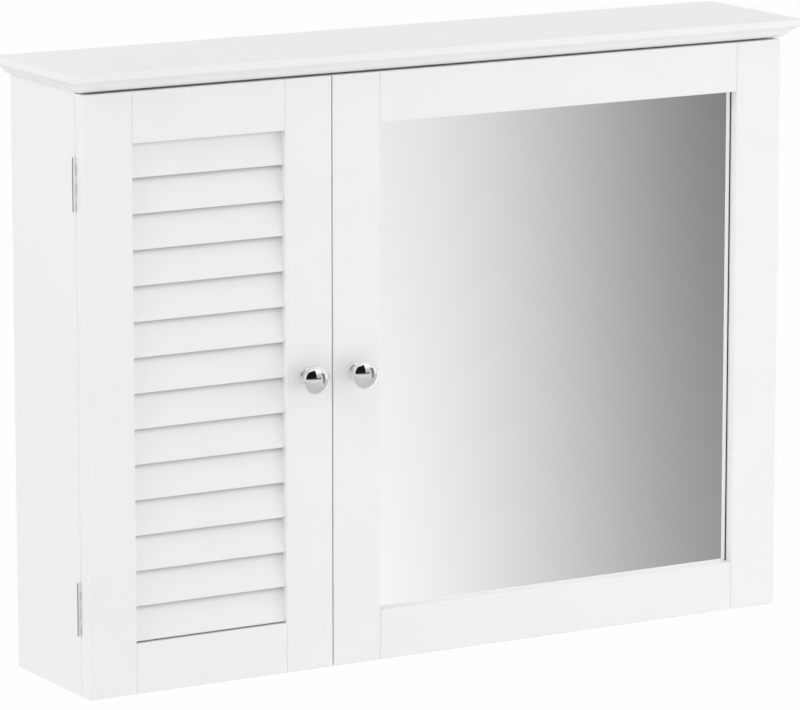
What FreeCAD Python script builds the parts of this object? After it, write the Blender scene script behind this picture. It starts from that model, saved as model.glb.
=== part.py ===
import FreeCAD, Part
import math
import os
import Sketcher

from types import SimpleNamespace
from FreeCAD import Rotation, Vector

# Wall-hung bathroom cabinet with a louvred door on the left and a mirror door on the right.
# The frame: +X to the viewer's right, +Y into the wall, +Z up. The wall is the plane y = 0 and
# the origin lies midway between the two wall holes.

# Driving sizes: name, value in millimetres (slat_tilt in degrees), what it measures.
SIZES = (
    ("carcass_width", 650.0, "over the outer faces of the side panels"),
    ("carcass_height", 484.5, "side panel, from its lower end up to the cornice"),
    ("carcass_depth", 113.0, "side panel, from the wall to its front edge"),
    ("board_thickness", 15.0, "sides, bottom, partition and hanging rail"),
    ("board_ease", 0.8, "rounding of the boards' front edges"),
    ("back_thickness", 3.0, "back panel"),
    ("back_groove", 5.0, "depth of the side panels' grooves for the back panel"),
    ("fit_clearance", 0.1, "play round a tenon, a slat end or a grooved edge"),
    ("rail_height", 60.0, "hanging rail behind the top of the back panel"),
    ("wall_hole_spacing", 460.0, "between the two wall holes"),
    ("wall_hole_radius", 2.75, "for a 5 mm wall screw"),
    ("cornice_thickness", 15.5, "moulded top board"),
    ("cornice_overhang", 15.0, "moulding beyond the outer face of a side panel"),
    ("cornice_reach", 10.0, "cornice beyond the front of the doors"),
    ("moulding_flat", 1.5, "level strip at the foot of the moulding"),
    ("moulding_wave", 14.0, "radius of the moulding's swell and of the hollow above it"),
    ("moulding_quirk", 0.6, "level strip above the hollow of the moulding"),
    ("moulding_nose", 2.2, "radius under the fascia"),
    ("moulding_ease", 1.0, "radius above the fascia"),
    ("fascia_height", 3.5, "upright strip of the moulding"),
    ("shelf_thickness", 12.0, "loose shelves"),
    ("shelf_setback", 8.0, "shelf front behind the front edges of the sides"),
    ("shelf_clearance", 0.5, "shelf ends and back to the boards round it"),
    ("left_shelf_low", 165.0, "lower end of the sides to the left lower shelf"),
    ("left_shelf_drop", 159.0, "cornice to the underside of the left upper shelf"),
    ("right_shelf_low", 190.0, "lower end of the sides to the right lower shelf"),
    ("right_shelf_drop", 5.0, "right catch to the top of the right upper shelf"),
    ("shelf_pin_radius", 2.5, "pin that carries a shelf"),
    ("shelf_pin_depth", 6.0, "pin inside the board"),
    ("shelf_pin_reach", 8.0, "pin outside the board"),
    ("shelf_pin_inset", 15.0, "pin from the front or back edge of its shelf"),
    ("dowel_radius", 3.0, "carcass dowel"),
    ("dowel_length", 25.0, "carcass dowel"),
    ("dowel_face_depth", 9.0, "dowel in the face of a board, the rest is in an edge"),
    ("rail_dowel_offset", 15.0, "hanging rail dowel above or below the middle of the rail"),
    ("cam_radius", 7.5, "cam lock"),
    ("cam_height", 11.0, "cam lock, sunk flush with its board"),
    ("cam_distance", 24.0, "middle of the cam lock from the joint"),
    ("cam_bolt_radius", 2.5, "bolt that the cam lock pulls on"),
    ("fitting_inset", 20.0, "fittings from the front edge or from the back panel"),
    ("fitting_play", 0.05, "radial play of a fitting in its hole"),
    ("door_thickness", 14.0, "door frames"),
    ("door_top_gap", 1.5, "door top to the cornice"),
    ("meeting_gap", 1.0, "between the two doors"),
    ("louvre_door_width", 220.3, "left door"),
    ("louvre_stile", 42.0, "width of the left door's stiles"),
    ("mirror_stile", 43.5, "width of the right door's stiles"),
    ("door_rail", 41.0, "height of the doors' rails"),
    ("door_ease", 0.9, "rounding of the door frames' front edges"),
    ("tenon_length", 12.0, "rail tenon in its stile"),
    ("tenon_thickness", 5.0, "rail tenon"),
    ("tenon_setback", 2.0, "rail tenon behind the door's front"),
    ("tenon_shoulder", 8.0, "rail tenon below the edges of its rail"),
    ("slat_thickness", 4.0, "louvre slat"),
    ("slat_overlap", 2.7, "height by which a slat reaches behind the one above it"),
    ("slat_round", 1.4, "rounding of the slat edges"),
    ("slat_tilt", 12.0, "lean of the slats from upright, in degrees"),
    ("slat_setback", 2.5, "lower edge of a slat behind the door's front"),
    ("slat_housing", 6.0, "slat end housed in its stile"),
    ("slat_bottom_gap", 0.4, "lowest slat above the bottom rail"),
    ("mirror_glass", 3.0, "thickness of the mirror glass"),
    ("mirror_backing", 3.0, "thickness of the board behind the glass"),
    ("mirror_overlap", 6.0, "rebate behind the edge of the frame"),
    ("mirror_play", 0.5, "glass edge to the wall of the rebate"),
    ("clip_length", 16.0, "mirror clip across the rebate's edge"),
    ("clip_cover", 5.0, "mirror clip over the backing board"),
    ("clip_width", 12.0, "mirror clip along the rebate's edge"),
    ("clip_thickness", 0.8, "mirror clip"),
    ("clip_inset", 70.0, "mirror clip from the corner of the frame's opening"),
    ("hinge_height", 43.0, "butt hinge"),
    ("hinge_inset", 50.0, "butt hinge from the door's end"),
    ("hinge_offset", 1.8, "hinge axis outside the face of the side panel"),
    ("knuckle_radius", 1.5, "hinge barrel"),
    ("knuckle_gap", 0.2, "between two knuckles"),
    ("hinge_pin_radius", 0.75, "pin in the barrel"),
    ("leaf_width", 12.0, "hinge leaf from the axis to its far edge"),
    ("leaf_thickness", 0.8, "hinge leaf"),
    ("leaf_gain", 0.4, "hinge leaf let into the wood"),
    ("leaf_gap", 0.2, "between the two leaves of a closed hinge"),
    ("leaf_relief", 0.5, "leaf edge clear of the other leaf's knuckles"),
    ("leaf_screw_inset", 10.0, "screw from the end of its leaf"),
    ("screw_head_radius", 2.4, "countersunk wood screw"),
    ("screw_head_height", 1.15, "countersunk wood screw"),
    ("screw_radius", 1.25, "countersunk wood screw"),
    ("screw_length", 10.0, "countersunk wood screw"),
    ("catch_inset", 60.0, "middle of the left catch below the cornice"),
    ("catch_step", 50.0, "right catch below the left one"),
    ("catch_length", 44.0, "magnetic catch with its lugs"),
    ("catch_case", 22.0, "magnet case between the lugs"),
    ("catch_depth", 14.0, "magnetic catch"),
    ("catch_width", 10.0, "magnet case out from the partition"),
    ("catch_lug", 3.0, "thickness of the lugs"),
    ("catch_screw_inset", 5.5, "screw from the end of the catch"),
    ("strike_length", 30.0, "steel plate on the door that meets the magnet"),
    ("strike_thickness", 0.7, "steel plate on the door that meets the magnet"),
    ("louvre_knob_inset", 23.0, "left knob from the meeting edge of its door"),
    ("mirror_knob_inset", 21.0, "right knob from the meeting edge of its door"),
    ("knob_rosette", 8.0, "radius of the knob's foot"),
    ("knob_foot", 1.0, "upright edge of the knob's foot"),
    ("knob_foot_round", 2.0, "rounding of the knob's foot"),
    ("knob_stem", 4.5, "radius of the knob's stem"),
    ("knob_stem_top", 8.0, "stem from the door to the flare under the head"),
    ("knob_flare", 3.0, "radius of the flare under the head"),
    ("knob_head", 12.0, "radius of the knob's head"),
    ("knob_rim", 3.0, "radius of the head's rim"),
    ("knob_dome", 6.9, "widest part of the head to its tip"),
    ("knob_screw_radius", 2.0, "machine screw of the knob"),
    ("knob_screw_grip", 7.0, "screw inside the knob"),
    ("knob_screw_head", 4.0, "radius of the knob screw's head"),
    ("knob_screw_head_height", 2.0, "knob screw's head on the back of the door"),
)

SLATS = 14
KNUCKLES = 6

doc = FreeCAD.newDocument("mirror_cabinet")
sheet = doc.addObject("Spreadsheet::Sheet", "Sizes")


class Size:
    """A length that carries its number and the sheet formula that gives it."""

    def __init__(self, value, formula):
        self.value = value
        self.formula = formula

    def __add__(self, other):
        other = sized(other)
        return Size(self.value + other.value, f"({self.formula} + {other.formula})")

    def __sub__(self, other):
        other = sized(other)
        return Size(self.value - other.value, f"({self.formula} - {other.formula})")

    def __mul__(self, other):
        other = sized(other)
        return Size(self.value * other.value, f"({self.formula} * {other.formula})")

    def __truediv__(self, other):
        other = sized(other)
        return Size(self.value / other.value, f"({self.formula} / {other.formula})")

    def __radd__(self, other):
        return sized(other) + self

    def __rsub__(self, other):
        return sized(other) - self

    def __rmul__(self, other):
        return sized(other) * self

    def __neg__(self):
        return sized(0) - self


def sized(number):
    """A plain number as a Size; a Size stays as it is."""
    if isinstance(number, Size):
        return number
    return Size(float(number), f"{number:g}")


def sine(angle):
    return Size(math.sin(math.radians(angle.value)), f"sin({angle.formula} * 1 deg)")


def cosine(angle):
    return Size(math.cos(math.radians(angle.value)), f"cos({angle.formula} * 1 deg)")


def enter_sizes():
    """Fill the sheet, one row for each driving size, and give every size back by its name."""
    named = {}
    for row, (alias, value, meaning) in enumerate(SIZES, start=1):
        sheet.set(f"A{row}", meaning)
        sheet.set(f"B{row}", str(value))
        sheet.setAlias(f"B{row}", alias)
        named[alias] = Size(value, f"Sizes.{alias}")
    doc.recompute()
    return SimpleNamespace(**named)


s = enter_sizes()

# Turns that lay a solid's own Z axis along a direction of the frame.
TURNS = {
    "+X": Rotation(Vector(0, 1, 0), 90),
    "-X": Rotation(Vector(0, 1, 0), -90),
    "+Y": Rotation(Vector(1, 0, 0), -90),
    "-Y": Rotation(Vector(1, 0, 0), 90),
    "+Z": Rotation(),
    "-Z": Rotation(Vector(1, 0, 0), 180),
}

pieces = {}
cuts_made = []


def bind(item, prop, size):
    item.setExpression(prop, sized(size).formula)


def place(item, at):
    for axis, size in zip("xyz", at):
        bind(item, f"Placement.Base.{axis}", size)


def moved(at, along, distance):
    """A point shifted by a distance along one of the six directions."""
    shift = distance if along[0] == "+" else -distance
    return tuple(size + shift if axis == along[1] else size for axis, size in zip("XYZ", at))


def box(at, size):
    solid = doc.addObject("Part::Box", "block")
    for prop, length in zip(("Length", "Width", "Height"), size):
        bind(solid, prop, length)
    place(solid, at)
    return solid


def block(low, high):
    """A box between two opposite corners."""
    return box(low, [sized(b) - a for a, b in zip(low, high)])


def rod(at, along, radius, length):
    solid = doc.addObject("Part::Cylinder", "rod")
    bind(solid, "Radius", radius)
    bind(solid, "Height", length)
    solid.Placement.Rotation = TURNS[along]
    place(solid, at)
    return solid


def cone(at, along, near_radius, far_radius, length):
    solid = doc.addObject("Part::Cone", "cone")
    bind(solid, "Radius1", near_radius)
    bind(solid, "Radius2", far_radius)
    bind(solid, "Height", length)
    solid.Placement.Rotation = TURNS[along]
    place(solid, at)
    return solid


def fuse(solids):
    whole = doc.addObject("Part::MultiFuse", "whole")
    whole.Shapes = solids
    whole.Refine = True
    return whole


def cut(base, tools):
    """The base less its tools; each cut is noted, so that it can be proved to take wood away."""
    result = doc.addObject("Part::Cut", "cut")
    result.Base = base
    result.Tool = tools[0] if len(tools) == 1 else fuse(tools)
    cuts_made.append(result)
    return result


def piece(name, item):
    item.Label = name
    pieces[name] = item
    return item


def group(name, solids):
    """Like pieces that share one node, each still a solid of its own."""
    together = doc.addObject("Part::Compound", "set")
    together.Links = solids
    return piece(name, together)


def arc_between(start, end, radius, turn):
    """An arc of less than half a circle; turn is 1 for counter-clockwise and -1 for clockwise."""
    middle = (start + end) * 0.5
    chord = end - start
    left = Vector(-chord.y, chord.x, 0).normalize()
    rise = math.sqrt(max(radius * radius - chord.Length * chord.Length / 4, 0.0))
    centre = middle + left * (rise * turn)
    first, last = (start, end) if turn > 0 else (end, start)
    begins = math.atan2(first.y - centre.y, first.x - centre.x)
    ends = math.atan2(last.y - centre.y, last.x - centre.x)
    return Part.ArcOfCircle(Part.Circle(centre, Vector(0, 0, 1), radius), begins, ends)


def outline(body, plane_role, corners):
    """A closed sketch on one of the body's origin planes. A corner is (x, y), and a straight edge
    leads on from it, or (x, y, radius, turn), and an arc leads on from it."""
    plane = [item for item in body.Origin.OriginFeatures if item.Role == plane_role][0]
    sketch = body.newObject("Sketcher::SketchObject", "outline")
    sketch.AttachmentSupport = (plane, [""])
    sketch.MapMode = "FlatFace"
    points = [Vector(sized(c[0]).value, sized(c[1]).value, 0) for c in corners]
    ends = []
    for index, corner in enumerate(corners):
        following = points[(index + 1) % len(points)]
        if len(corner) == 2:
            sketch.addGeometry(Part.LineSegment(points[index], following))
            ends.append((1, 2))
        else:
            radius, turn = corner[2:]
            sketch.addGeometry(arc_between(points[index], following, radius.value, turn))
            ends.append((1, 2) if turn > 0 else (2, 1))
    for index, corner in enumerate(corners):
        following = (index + 1) % len(corners)
        sketch.addConstraint(
            Sketcher.Constraint("Coincident", index, ends[index][1], following, ends[following][0])
        )
        near = ends[index][0]
        for rule, size, number in (
            ("DistanceX", corner[0], points[index].x),
            ("DistanceY", corner[1], points[index].y),
        ):
            fixed = sketch.addConstraint(Sketcher.Constraint(rule, -1, 1, index, near, number))
            bind(sketch, f"Constraints[{fixed}]", size)
        if len(corner) > 2:
            fixed = sketch.addConstraint(Sketcher.Constraint("Radius", index, corner[2].value))
            bind(sketch, f"Constraints[{fixed}]", corner[2])
    return sketch


def pad(body, sketch, length):
    feature = body.newObject("PartDesign::Pad", "pad")
    feature.Profile = sketch
    bind(feature, "Length", length)
    doc.recompute()
    return feature


def board(at, size, ease):
    """A flat board with rounded front edges; at is the left lower corner of its back face."""
    wide, thick, tall = size
    body = doc.addObject("PartDesign::Body", "board")
    sketch = outline(body, "XZ_Plane", [(0, 0), (wide, 0), (wide, tall), (0, tall)])
    blank = pad(body, sketch, thick)
    rounding = body.newObject("PartDesign::Fillet", "rounding")
    rounding.Base = (blank, ["Face6"])
    bind(rounding, "Radius", ease)
    place(body, at)
    return body


def screw(at, along, play=0):
    """A countersunk wood screw, or with some play the hole for it; at is the middle of its head."""
    head = cone(at, along, s.screw_head_radius + play, s.screw_radius + play, s.screw_head_height)
    shank = rod(at, along, s.screw_radius + play, s.screw_length + play)
    return fuse([head, shank])


# Main planes of the cabinet.
half = s.carcass_width / 2
base = s.rail_height / 2 - s.carcass_height
top = base + s.carcass_height
inner = half - s.board_thickness
back_front = -(s.board_thickness + s.back_thickness)
carcass_front = -s.carcass_depth
door_gap = 2 * (s.leaf_thickness - s.leaf_gain) + s.leaf_gap
door_back = carcass_front - door_gap
door_front = door_back - s.door_thickness
door_tall = s.carcass_height - s.door_top_gap
door_top = base + door_tall
louvre_right = s.louvre_door_width - half
mirror_left = louvre_right + s.meeting_gap
partition_middle = louvre_right + s.meeting_gap / 2
partition_left = partition_middle - s.board_thickness / 2
partition_right = partition_middle + s.board_thickness / 2
bottom_face = base + s.board_thickness

# What is cut out of each board and door frame member, gathered as the fittings are made.
hollows = {
    name: []
    for name in (
        "left_side_panel",
        "right_side_panel",
        "bottom_panel",
        "cornice_top",
        "centre_partition",
        "hanging_rail",
        "back_panel",
        "louvre_door_left_stile",
        "louvre_door_right_stile",
        "louvre_door_top_rail",
        "mirror_door_left_stile",
        "mirror_door_right_stile",
        "mirror_door_top_rail",
        "mirror_door_bottom_rail",
    )
}


def hollow_out(tool, names):
    for name in names:
        hollows[name].append(tool)


def moulding(face, foot, outward):
    """The moulded edge from its foot to the top, as outline corners: a swell, a hollow, a quirk and
    a round nose under the fascia. The face is where the moulding starts and outward is 1 or -1 along
    the sketch's first axis."""
    wave_reach = s.cornice_overhang - s.moulding_nose - s.moulding_quirk
    fascia_low = s.cornice_thickness - s.moulding_ease - s.fascia_height
    wave_top = fascia_low - s.moulding_nose
    steps = (
        (s.moulding_flat, 0, s.moulding_wave, 1),
        ((s.moulding_flat + wave_reach) / 2, wave_top / 2, s.moulding_wave, -1),
        (wave_reach, wave_top),
        (s.cornice_overhang - s.moulding_nose, wave_top, s.moulding_nose, 1),
        (s.cornice_overhang, fascia_low),
        (s.cornice_overhang, fascia_low + s.fascia_height, s.moulding_ease, 1),
        (s.cornice_overhang - s.moulding_ease, s.cornice_thickness),
    )
    corners = []
    for step in steps:
        corner = (face + outward * step[0], foot + step[1])
        if len(step) > 2:
            corner += (step[2], step[3] * outward)
        corners.append(corner)
    return corners


def mirrored_order(corners):
    """The same corners walked backwards, with each arc moved to the corner it now starts from."""
    turned = []
    for index in range(len(corners) - 1, -1, -1):
        corner = corners[index][:2]
        before = corners[index - 1] if index else ()
        if len(before) > 2:
            corner += (before[2], -before[3])
        turned.append(corner)
    return turned


# Cornice: one board, moulded along the front and both ends. The front profile runs across the
# cabinet, the end profile runs from the wall forwards, and the board is what the two have in common.
cornice_front = door_front - s.cornice_reach
across = doc.addObject("PartDesign::Body", "cornice_front_profile")
front_edge = moulding(cornice_front + s.cornice_overhang, 0, -1)
front_corners = [(0, 0)] + front_edge + [(0, s.cornice_thickness)]
pad(across, outline(across, "YZ_Plane", front_corners), s.carcass_width + 2 * s.cornice_overhang)
place(across, (-half - s.cornice_overhang, 0, top))
forwards = doc.addObject("PartDesign::Body", "cornice_end_profile")
end_corners = moulding(half, 0, 1) + mirrored_order(moulding(-half, 0, -1))
pad(forwards, outline(forwards, "XZ_Plane", end_corners), -cornice_front)
place(forwards, (0, 0, top))
cornice_blank = doc.addObject("Part::MultiCommon", "cornice_blank")
cornice_blank.Shapes = [across, forwards]

# Boards of the carcass. The sides reach the wall, the rest ends at the back panel.
side_size = (s.board_thickness, s.carcass_depth, s.carcass_height)
inner_depth = back_front - carcass_front
boards = {
    "left_side_panel": board((-half, 0, base), side_size, s.board_ease),
    "right_side_panel": board((inner, 0, base), side_size, s.board_ease),
    "bottom_panel": board(
        (-inner, back_front, base), (2 * inner, inner_depth, s.board_thickness), s.board_ease
    ),
    "centre_partition": board(
        (partition_left, back_front, bottom_face),
        (s.board_thickness, inner_depth, top - bottom_face),
        s.board_ease,
    ),
    "hanging_rail": box(
        (-inner, -s.board_thickness, top - s.rail_height),
        (2 * inner, s.board_thickness, s.rail_height),
    ),
    "cornice_top": cornice_blank,
}

# Back panel in grooves of the two sides, in front of the hanging rail.
groove_x = inner + s.back_groove
back_edge = groove_x - s.fit_clearance
boards["back_panel"] = box(
    (-back_edge, back_front, base), (2 * back_edge, s.back_thickness, s.carcass_height)
)
for side, low_x in (("left_side_panel", -groove_x), ("right_side_panel", inner)):
    groove = box((low_x, back_front, base), (s.back_groove, s.back_thickness, s.carcass_height))
    hollow_out(groove, [side])

# Two wall holes through the hanging rail and the back panel.
for hole_x in (-s.wall_hole_spacing / 2, s.wall_hole_spacing / 2):
    drill = rod((hole_x, 0, 0), "-Y", s.wall_hole_radius, -back_front)
    hollow_out(drill, ["hanging_rail", "back_panel"])

# Loose shelves, each on four pins.
shelf_back = back_front - s.shelf_clearance
shelf_front = carcass_front + s.shelf_setback
shelf_pins = []
catch_foot = top - s.catch_inset - s.catch_step - s.catch_length / 2
for bay, bay_left, bay_right, left_board, right_board, low_shelf, high_shelf in (
    (
        "left",
        -inner,
        partition_left,
        "left_side_panel",
        "centre_partition",
        base + s.left_shelf_low,
        top - s.left_shelf_drop,
    ),
    (
        "right",
        partition_right,
        inner,
        "centre_partition",
        "right_side_panel",
        base + s.right_shelf_low,
        catch_foot - s.right_shelf_drop - s.shelf_thickness,
    ),
):
    for level, underside in (("lower", low_shelf), ("upper", high_shelf)):
        shelf = board(
            (bay_left + s.shelf_clearance, shelf_back, underside),
            (bay_right - bay_left - 2 * s.shelf_clearance, shelf_back - shelf_front, s.shelf_thickness),
            s.board_ease,
        )
        piece(f"{bay}_{level}_shelf", shelf)
        pin_z = underside - s.shelf_pin_radius
        for pin_y in (shelf_back - s.shelf_pin_inset, shelf_front + s.shelf_pin_inset):
            for face_x, along, holder in ((bay_left, "+X", left_board), (bay_right, "-X", right_board)):
                sunk = moved((face_x, pin_y, pin_z), along, -s.shelf_pin_depth)
                length = s.shelf_pin_depth + s.shelf_pin_reach
                shelf_pins.append(rod(sunk, along, s.shelf_pin_radius, length))
                hole = rod(sunk, along, s.shelf_pin_radius + s.fitting_play, length)
                hollow_out(hole, [holder])
group("shelf_pins", shelf_pins)

# Dowels and cam fittings of the carcass. Each joint point lies on the seam between the face of one
# board and the edge of another, and its direction leads into the edge.
front_y = carcass_front + s.fitting_inset
rear_y = back_front - s.fitting_inset
middle_y = (front_y + rear_y) / 2
dowels = []
cam_bolts = []
cam_locks = []


def dowel(at, along, boards_joined):
    start = moved(at, along, -s.dowel_face_depth)
    dowels.append(rod(start, along, s.dowel_radius, s.dowel_length))
    hole = rod(
        moved(start, along, -s.fit_clearance),
        along,
        s.dowel_radius + s.fitting_play,
        s.dowel_length + 2 * s.fit_clearance,
    )
    hollow_out(hole, boards_joined)


def cam_joint(at, along, face_board, edge_board, cam_face, cam_along):
    """A bolt in the face board and the cam in the edge board that draws it tight. cam_face is the
    point of the edge board's face over the joint point, and cam_along leads into that board."""
    start = moved(at, along, -s.dowel_face_depth)
    length = s.dowel_face_depth + s.cam_distance - s.cam_radius - s.fit_clearance
    cam_bolts.append(rod(start, along, s.cam_bolt_radius, length))
    hole_radius = s.cam_bolt_radius + s.fitting_play
    hollow_out(rod(start, along, hole_radius, length + s.cam_radius), [face_board, edge_board])
    cam_at = moved(cam_face, along, s.cam_distance)
    cam_locks.append(rod(cam_at, cam_along, s.cam_radius, s.cam_height))
    pocket = rod(cam_at, cam_along, s.cam_radius + s.fitting_play, s.cam_height)
    hollow_out(pocket, [edge_board])


for side_board, seam_x, inward, outward in (
    ("left_side_panel", -inner, "+X", "-X"),
    ("right_side_panel", inner, "-X", "+X"),
):
    bottom_middle = base + s.board_thickness / 2
    side_middle = moved((seam_x, 0, 0), outward, s.board_thickness / 2)[0]
    for joint_y in (front_y, rear_y):
        seam = (seam_x, joint_y, bottom_middle)
        cam_joint(seam, inward, side_board, "bottom_panel", (seam_x, joint_y, base), "+Z")
        seam = (side_middle, joint_y, top)
        cam_joint(seam, "-Z", "cornice_top", side_board, (seam_x, joint_y, top), outward)
    dowel((seam_x, middle_y, bottom_middle), inward, [side_board, "bottom_panel"])
    dowel((side_middle, middle_y, top), "-Z", ["cornice_top", side_board])
    for rail_z in (-s.rail_dowel_offset, s.rail_dowel_offset):
        dowel((seam_x, -s.board_thickness / 2, rail_z), inward, [side_board, "hanging_rail"])
for joint_y in (front_y, rear_y):
    dowel((partition_middle, joint_y, bottom_face), "+Z", ["bottom_panel", "centre_partition"])
    dowel((partition_middle, joint_y, top), "-Z", ["cornice_top", "centre_partition"])
group("carcass_dowels", dowels)
group("cam_bolts", cam_bolts)
group("cam_locks", cam_locks)


def door_frame(door, left, right, stile):
    """Two stiles and two tenoned rails; gives back the opening as left, right, low and high."""
    opening = (left + stile, right - stile, base + s.door_rail, door_top - s.door_rail)
    stile_size = (stile, s.door_thickness, door_tall)
    boards[f"{door}_left_stile"] = board((left, door_back, base), stile_size, s.door_ease)
    boards[f"{door}_right_stile"] = board((right - stile, door_back, base), stile_size, s.door_ease)
    for level, low in (("top", door_top - s.door_rail), ("bottom", base)):
        rail = board(
            (left + stile, door_back, low),
            (right - left - 2 * stile, s.door_thickness, s.door_rail),
            s.door_ease,
        )
        reach = s.tenon_length
        lies = door_front + s.tenon_setback
        tenon_low = low + s.tenon_shoulder
        tenon_high = low + s.door_rail - s.tenon_shoulder
        tenons = block(
            (opening[0] - reach, lies, tenon_low),
            (opening[1] + reach, lies + s.tenon_thickness, tenon_high),
        )
        boards[f"{door}_{level}_rail"] = fuse([rail, tenons])
        play = s.fit_clearance
        mortises = block(
            (opening[0] - reach - play, lies - play, tenon_low - play),
            (opening[1] + reach + play, lies + s.tenon_thickness + play, tenon_high + play),
        )
        hollow_out(mortises, [f"{door}_left_stile", f"{door}_right_stile"])
    return opening


louvre_opening = door_frame("louvre_door", -half, louvre_right, s.louvre_stile)
mirror_opening = door_frame("mirror_door", mirror_left, half, s.mirror_stile)


def slat_blank(left, right, front_y, low_z, grow):
    """A slat with rounded edges, leaning back from its lower front edge, or its housing if grown."""
    body = doc.addObject("PartDesign::Body", "slat")
    thick = s.slat_thickness + grow
    tall = slat_width + grow
    edge = s.slat_round
    corners = [
        (edge - grow, -grow),
        (thick - edge, -grow, edge, 1),
        (thick, edge - grow),
        (thick, tall - edge, edge, 1),
        (thick - edge, tall),
        (edge - grow, tall, edge, 1),
        (-grow, tall - edge),
        (-grow, edge - grow, edge, 1),
    ]
    pad(body, outline(body, "YZ_Plane", corners), right - left)
    body.Placement.Rotation = Rotation(Vector(-1, 0, 0), s.slat_tilt.value)
    bind(body, "Placement.Rotation.Angle", Size(s.slat_tilt.value, f"{s.slat_tilt.formula} * 1 deg"))
    place(body, (left, front_y, low_z))
    return body


# Louvre slats, housed at both ends in the stiles; the highest also tucks into the top rail.
slat_left = louvre_opening[0] - s.slat_housing
slat_right = louvre_opening[1] + s.slat_housing
slat_pitch = (louvre_opening[3] - louvre_opening[2]) / SLATS
slat_width = (slat_pitch + s.slat_overlap) / cosine(s.slat_tilt)
lowest_edge = louvre_opening[2] + s.slat_bottom_gap + s.slat_thickness * sine(s.slat_tilt)
for number in range(SLATS):
    edge_z = lowest_edge + number * slat_pitch
    edge_y = door_front + s.slat_setback
    piece(f"louvre_slat_{number + 1:02d}", slat_blank(slat_left, slat_right, edge_y, edge_z, sized(0)))
    play = s.fit_clearance
    housing = slat_blank(slat_left - play, slat_right + play, edge_y, edge_z, play)
    hollow_out(housing, ["louvre_door_left_stile", "louvre_door_right_stile"])
hollow_out(housing, ["louvre_door_top_rail"])

# Mirror glass and its backing board in a rebate behind the frame, held by clips.
rebate_front = door_back - s.mirror_backing - s.mirror_glass
rebate = block(
    (mirror_opening[0] - s.mirror_overlap, rebate_front, mirror_opening[2] - s.mirror_overlap),
    (mirror_opening[1] + s.mirror_overlap, door_back, mirror_opening[3] + s.mirror_overlap),
)
for member in ("left_stile", "right_stile", "top_rail", "bottom_rail"):
    hollow_out(rebate, [f"mirror_door_{member}"])
lap = s.mirror_overlap - s.mirror_play
pane_low = (mirror_opening[0] - lap, mirror_opening[2] - lap)
pane_high = (mirror_opening[1] + lap, mirror_opening[3] + lap)
glass_back = rebate_front + s.mirror_glass
piece(
    "mirror_glass",
    block((pane_low[0], rebate_front, pane_low[1]), (pane_high[0], glass_back, pane_high[1])),
)
piece(
    "mirror_backing",
    block((pane_low[0], glass_back, pane_low[1]), (pane_high[0], door_back, pane_high[1])),
)

mirror_screws = []
clips = []
clip_rear = door_back + s.clip_thickness
clip_grip = s.clip_length - s.clip_cover
for member, along, edge, places in (
    ("left_stile", "-X", mirror_opening[0] - s.mirror_overlap, mirror_opening[2:]),
    ("right_stile", "+X", mirror_opening[1] + s.mirror_overlap, mirror_opening[2:]),
    ("bottom_rail", "-Z", mirror_opening[2] - s.mirror_overlap, mirror_opening[:2]),
    ("top_rail", "+Z", mirror_opening[3] + s.mirror_overlap, mirror_opening[:2]),
):
    outward = 1 if along[0] == "+" else -1
    near, far = edge - outward * s.clip_cover, edge + outward * clip_grip
    low, high = (near, far) if outward > 0 else (far, near)
    screw_place = edge + outward * clip_grip / 2
    for middle in (places[0] + s.clip_inset, places[1] - s.clip_inset):
        begin, end = middle - s.clip_width / 2, middle + s.clip_width / 2
        if along[1] == "X":
            plate = block((low, door_back, begin), (high, clip_rear, end))
            fixed_at = (screw_place, clip_rear, middle)
        else:
            plate = block((begin, door_back, low), (end, clip_rear, high))
            fixed_at = (middle, clip_rear, screw_place)
        hole = screw(fixed_at, "-Y", s.fitting_play)
        clips.append(cut(plate, [hole]))
        hollow_out(hole, [f"mirror_door_{member}"])
        mirror_screws.append(screw(fixed_at, "-Y"))
group("mirror_clips", clips)

# Butt hinges, two to a door, with their pins upright just outside the side panels.
hinge_y = carcass_front - door_gap / 2
knuckle_length = (s.hinge_height - (KNUCKLES - 1) * s.knuckle_gap) / KNUCKLES
bore_radius = s.hinge_pin_radius + s.fitting_play
plate_start = s.knuckle_radius + s.leaf_relief
carcass_screws = []
louvre_screws = []
hinge_pins = []


def hinge_block(side, axis_x, near, far, low_y, high_y, low_z, high_z):
    """A box given by its distances inwards from the hinge axis; side is -1 for left, 1 for right."""
    low_x, high_x = (axis_x + near, axis_x + far) if side < 0 else (axis_x - far, axis_x - near)
    return block((low_x, low_y, low_z), (high_x, high_y, high_z))


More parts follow.
